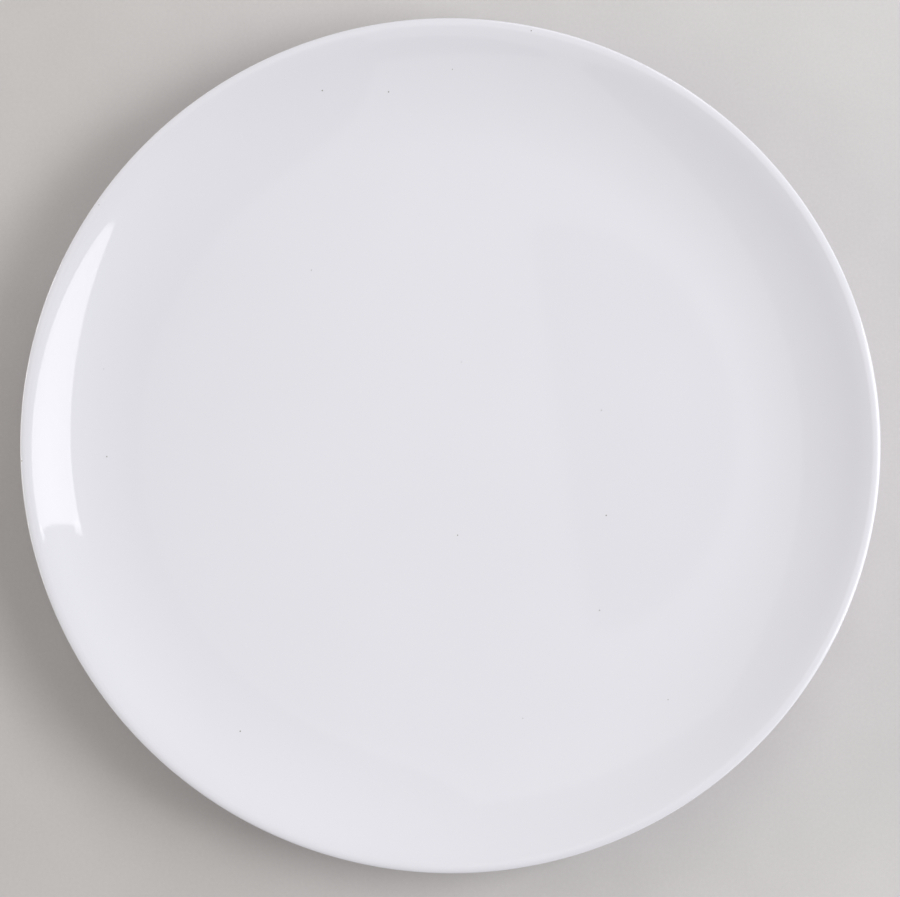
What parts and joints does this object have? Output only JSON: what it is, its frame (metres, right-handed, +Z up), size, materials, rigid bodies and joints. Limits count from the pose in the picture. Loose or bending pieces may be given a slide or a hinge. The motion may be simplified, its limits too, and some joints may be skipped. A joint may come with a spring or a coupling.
{
  "type": "chop plate",
  "caption": "Round white coupe chop plate with a flat well, an upswept edge with a rolled lip and no rim, and a bare foot ring under the back, for serving at table.",
  "frame": {"origin": "on the plate's axis, at the height of the foot ring's bearing face", "axes": "+Z up along the axis of the plate, out of the face; the plate is round, so X and Y are any two directions across it"},
  "size_m": [0.311, 0.311, 0.0218],
  "materials": {
    "fired_clay": "matte, fine-grained bare stoneware",
    "white_glaze": "smooth glossy white glaze, slightly cool"
  },
  "bodies": {
    "root": {"clay_body": "fired_clay", "face_glaze": "white_glaze", "recess_glaze": "white_glaze"}
  },
  "joints": []
}
